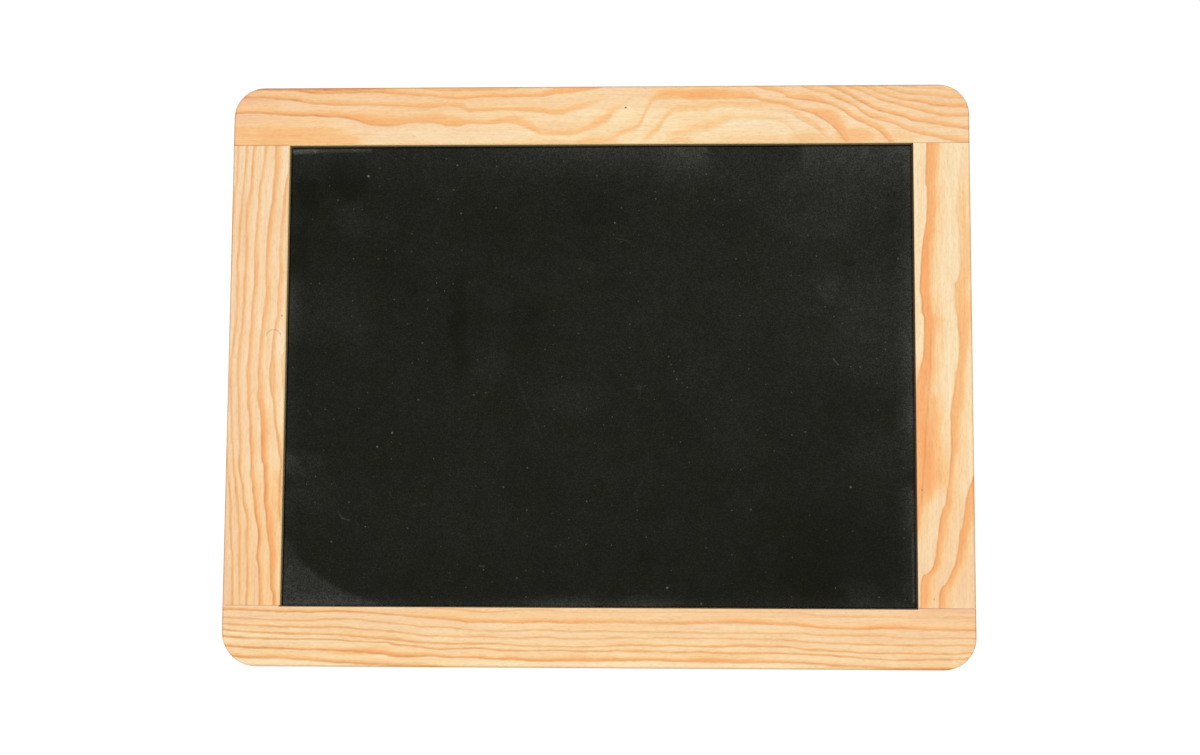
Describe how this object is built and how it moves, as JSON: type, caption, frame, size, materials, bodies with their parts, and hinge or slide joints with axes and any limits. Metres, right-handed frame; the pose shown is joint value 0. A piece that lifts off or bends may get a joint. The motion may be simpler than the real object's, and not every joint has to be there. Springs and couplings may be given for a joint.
{
  "type": "slate writing board",
  "caption": "Reversible school slate: a thin bevelled slate panel held in the grooves of a flat pine frame with rounded, bridle-jointed corners, for writing with chalk.",
  "frame": {"origin": "centre of the back face, on the surface that the board lies on", "axes": "+X along the long rails to the right of the writing face, +Y towards the top rail, +Z out of the writing face"},
  "size_m": [0.28, 0.22, 0.011],
  "materials": {
    "pine": "bare, fine sanded",
    "slate": "honed, matt, chalk dusted"
  },
  "bodies": {
    "root": {"top_rail": "pine", "bottom_rail": "pine", "left_stile": "pine", "right_stile": "pine", "slate_panel": "slate"}
  },
  "joints": []
}
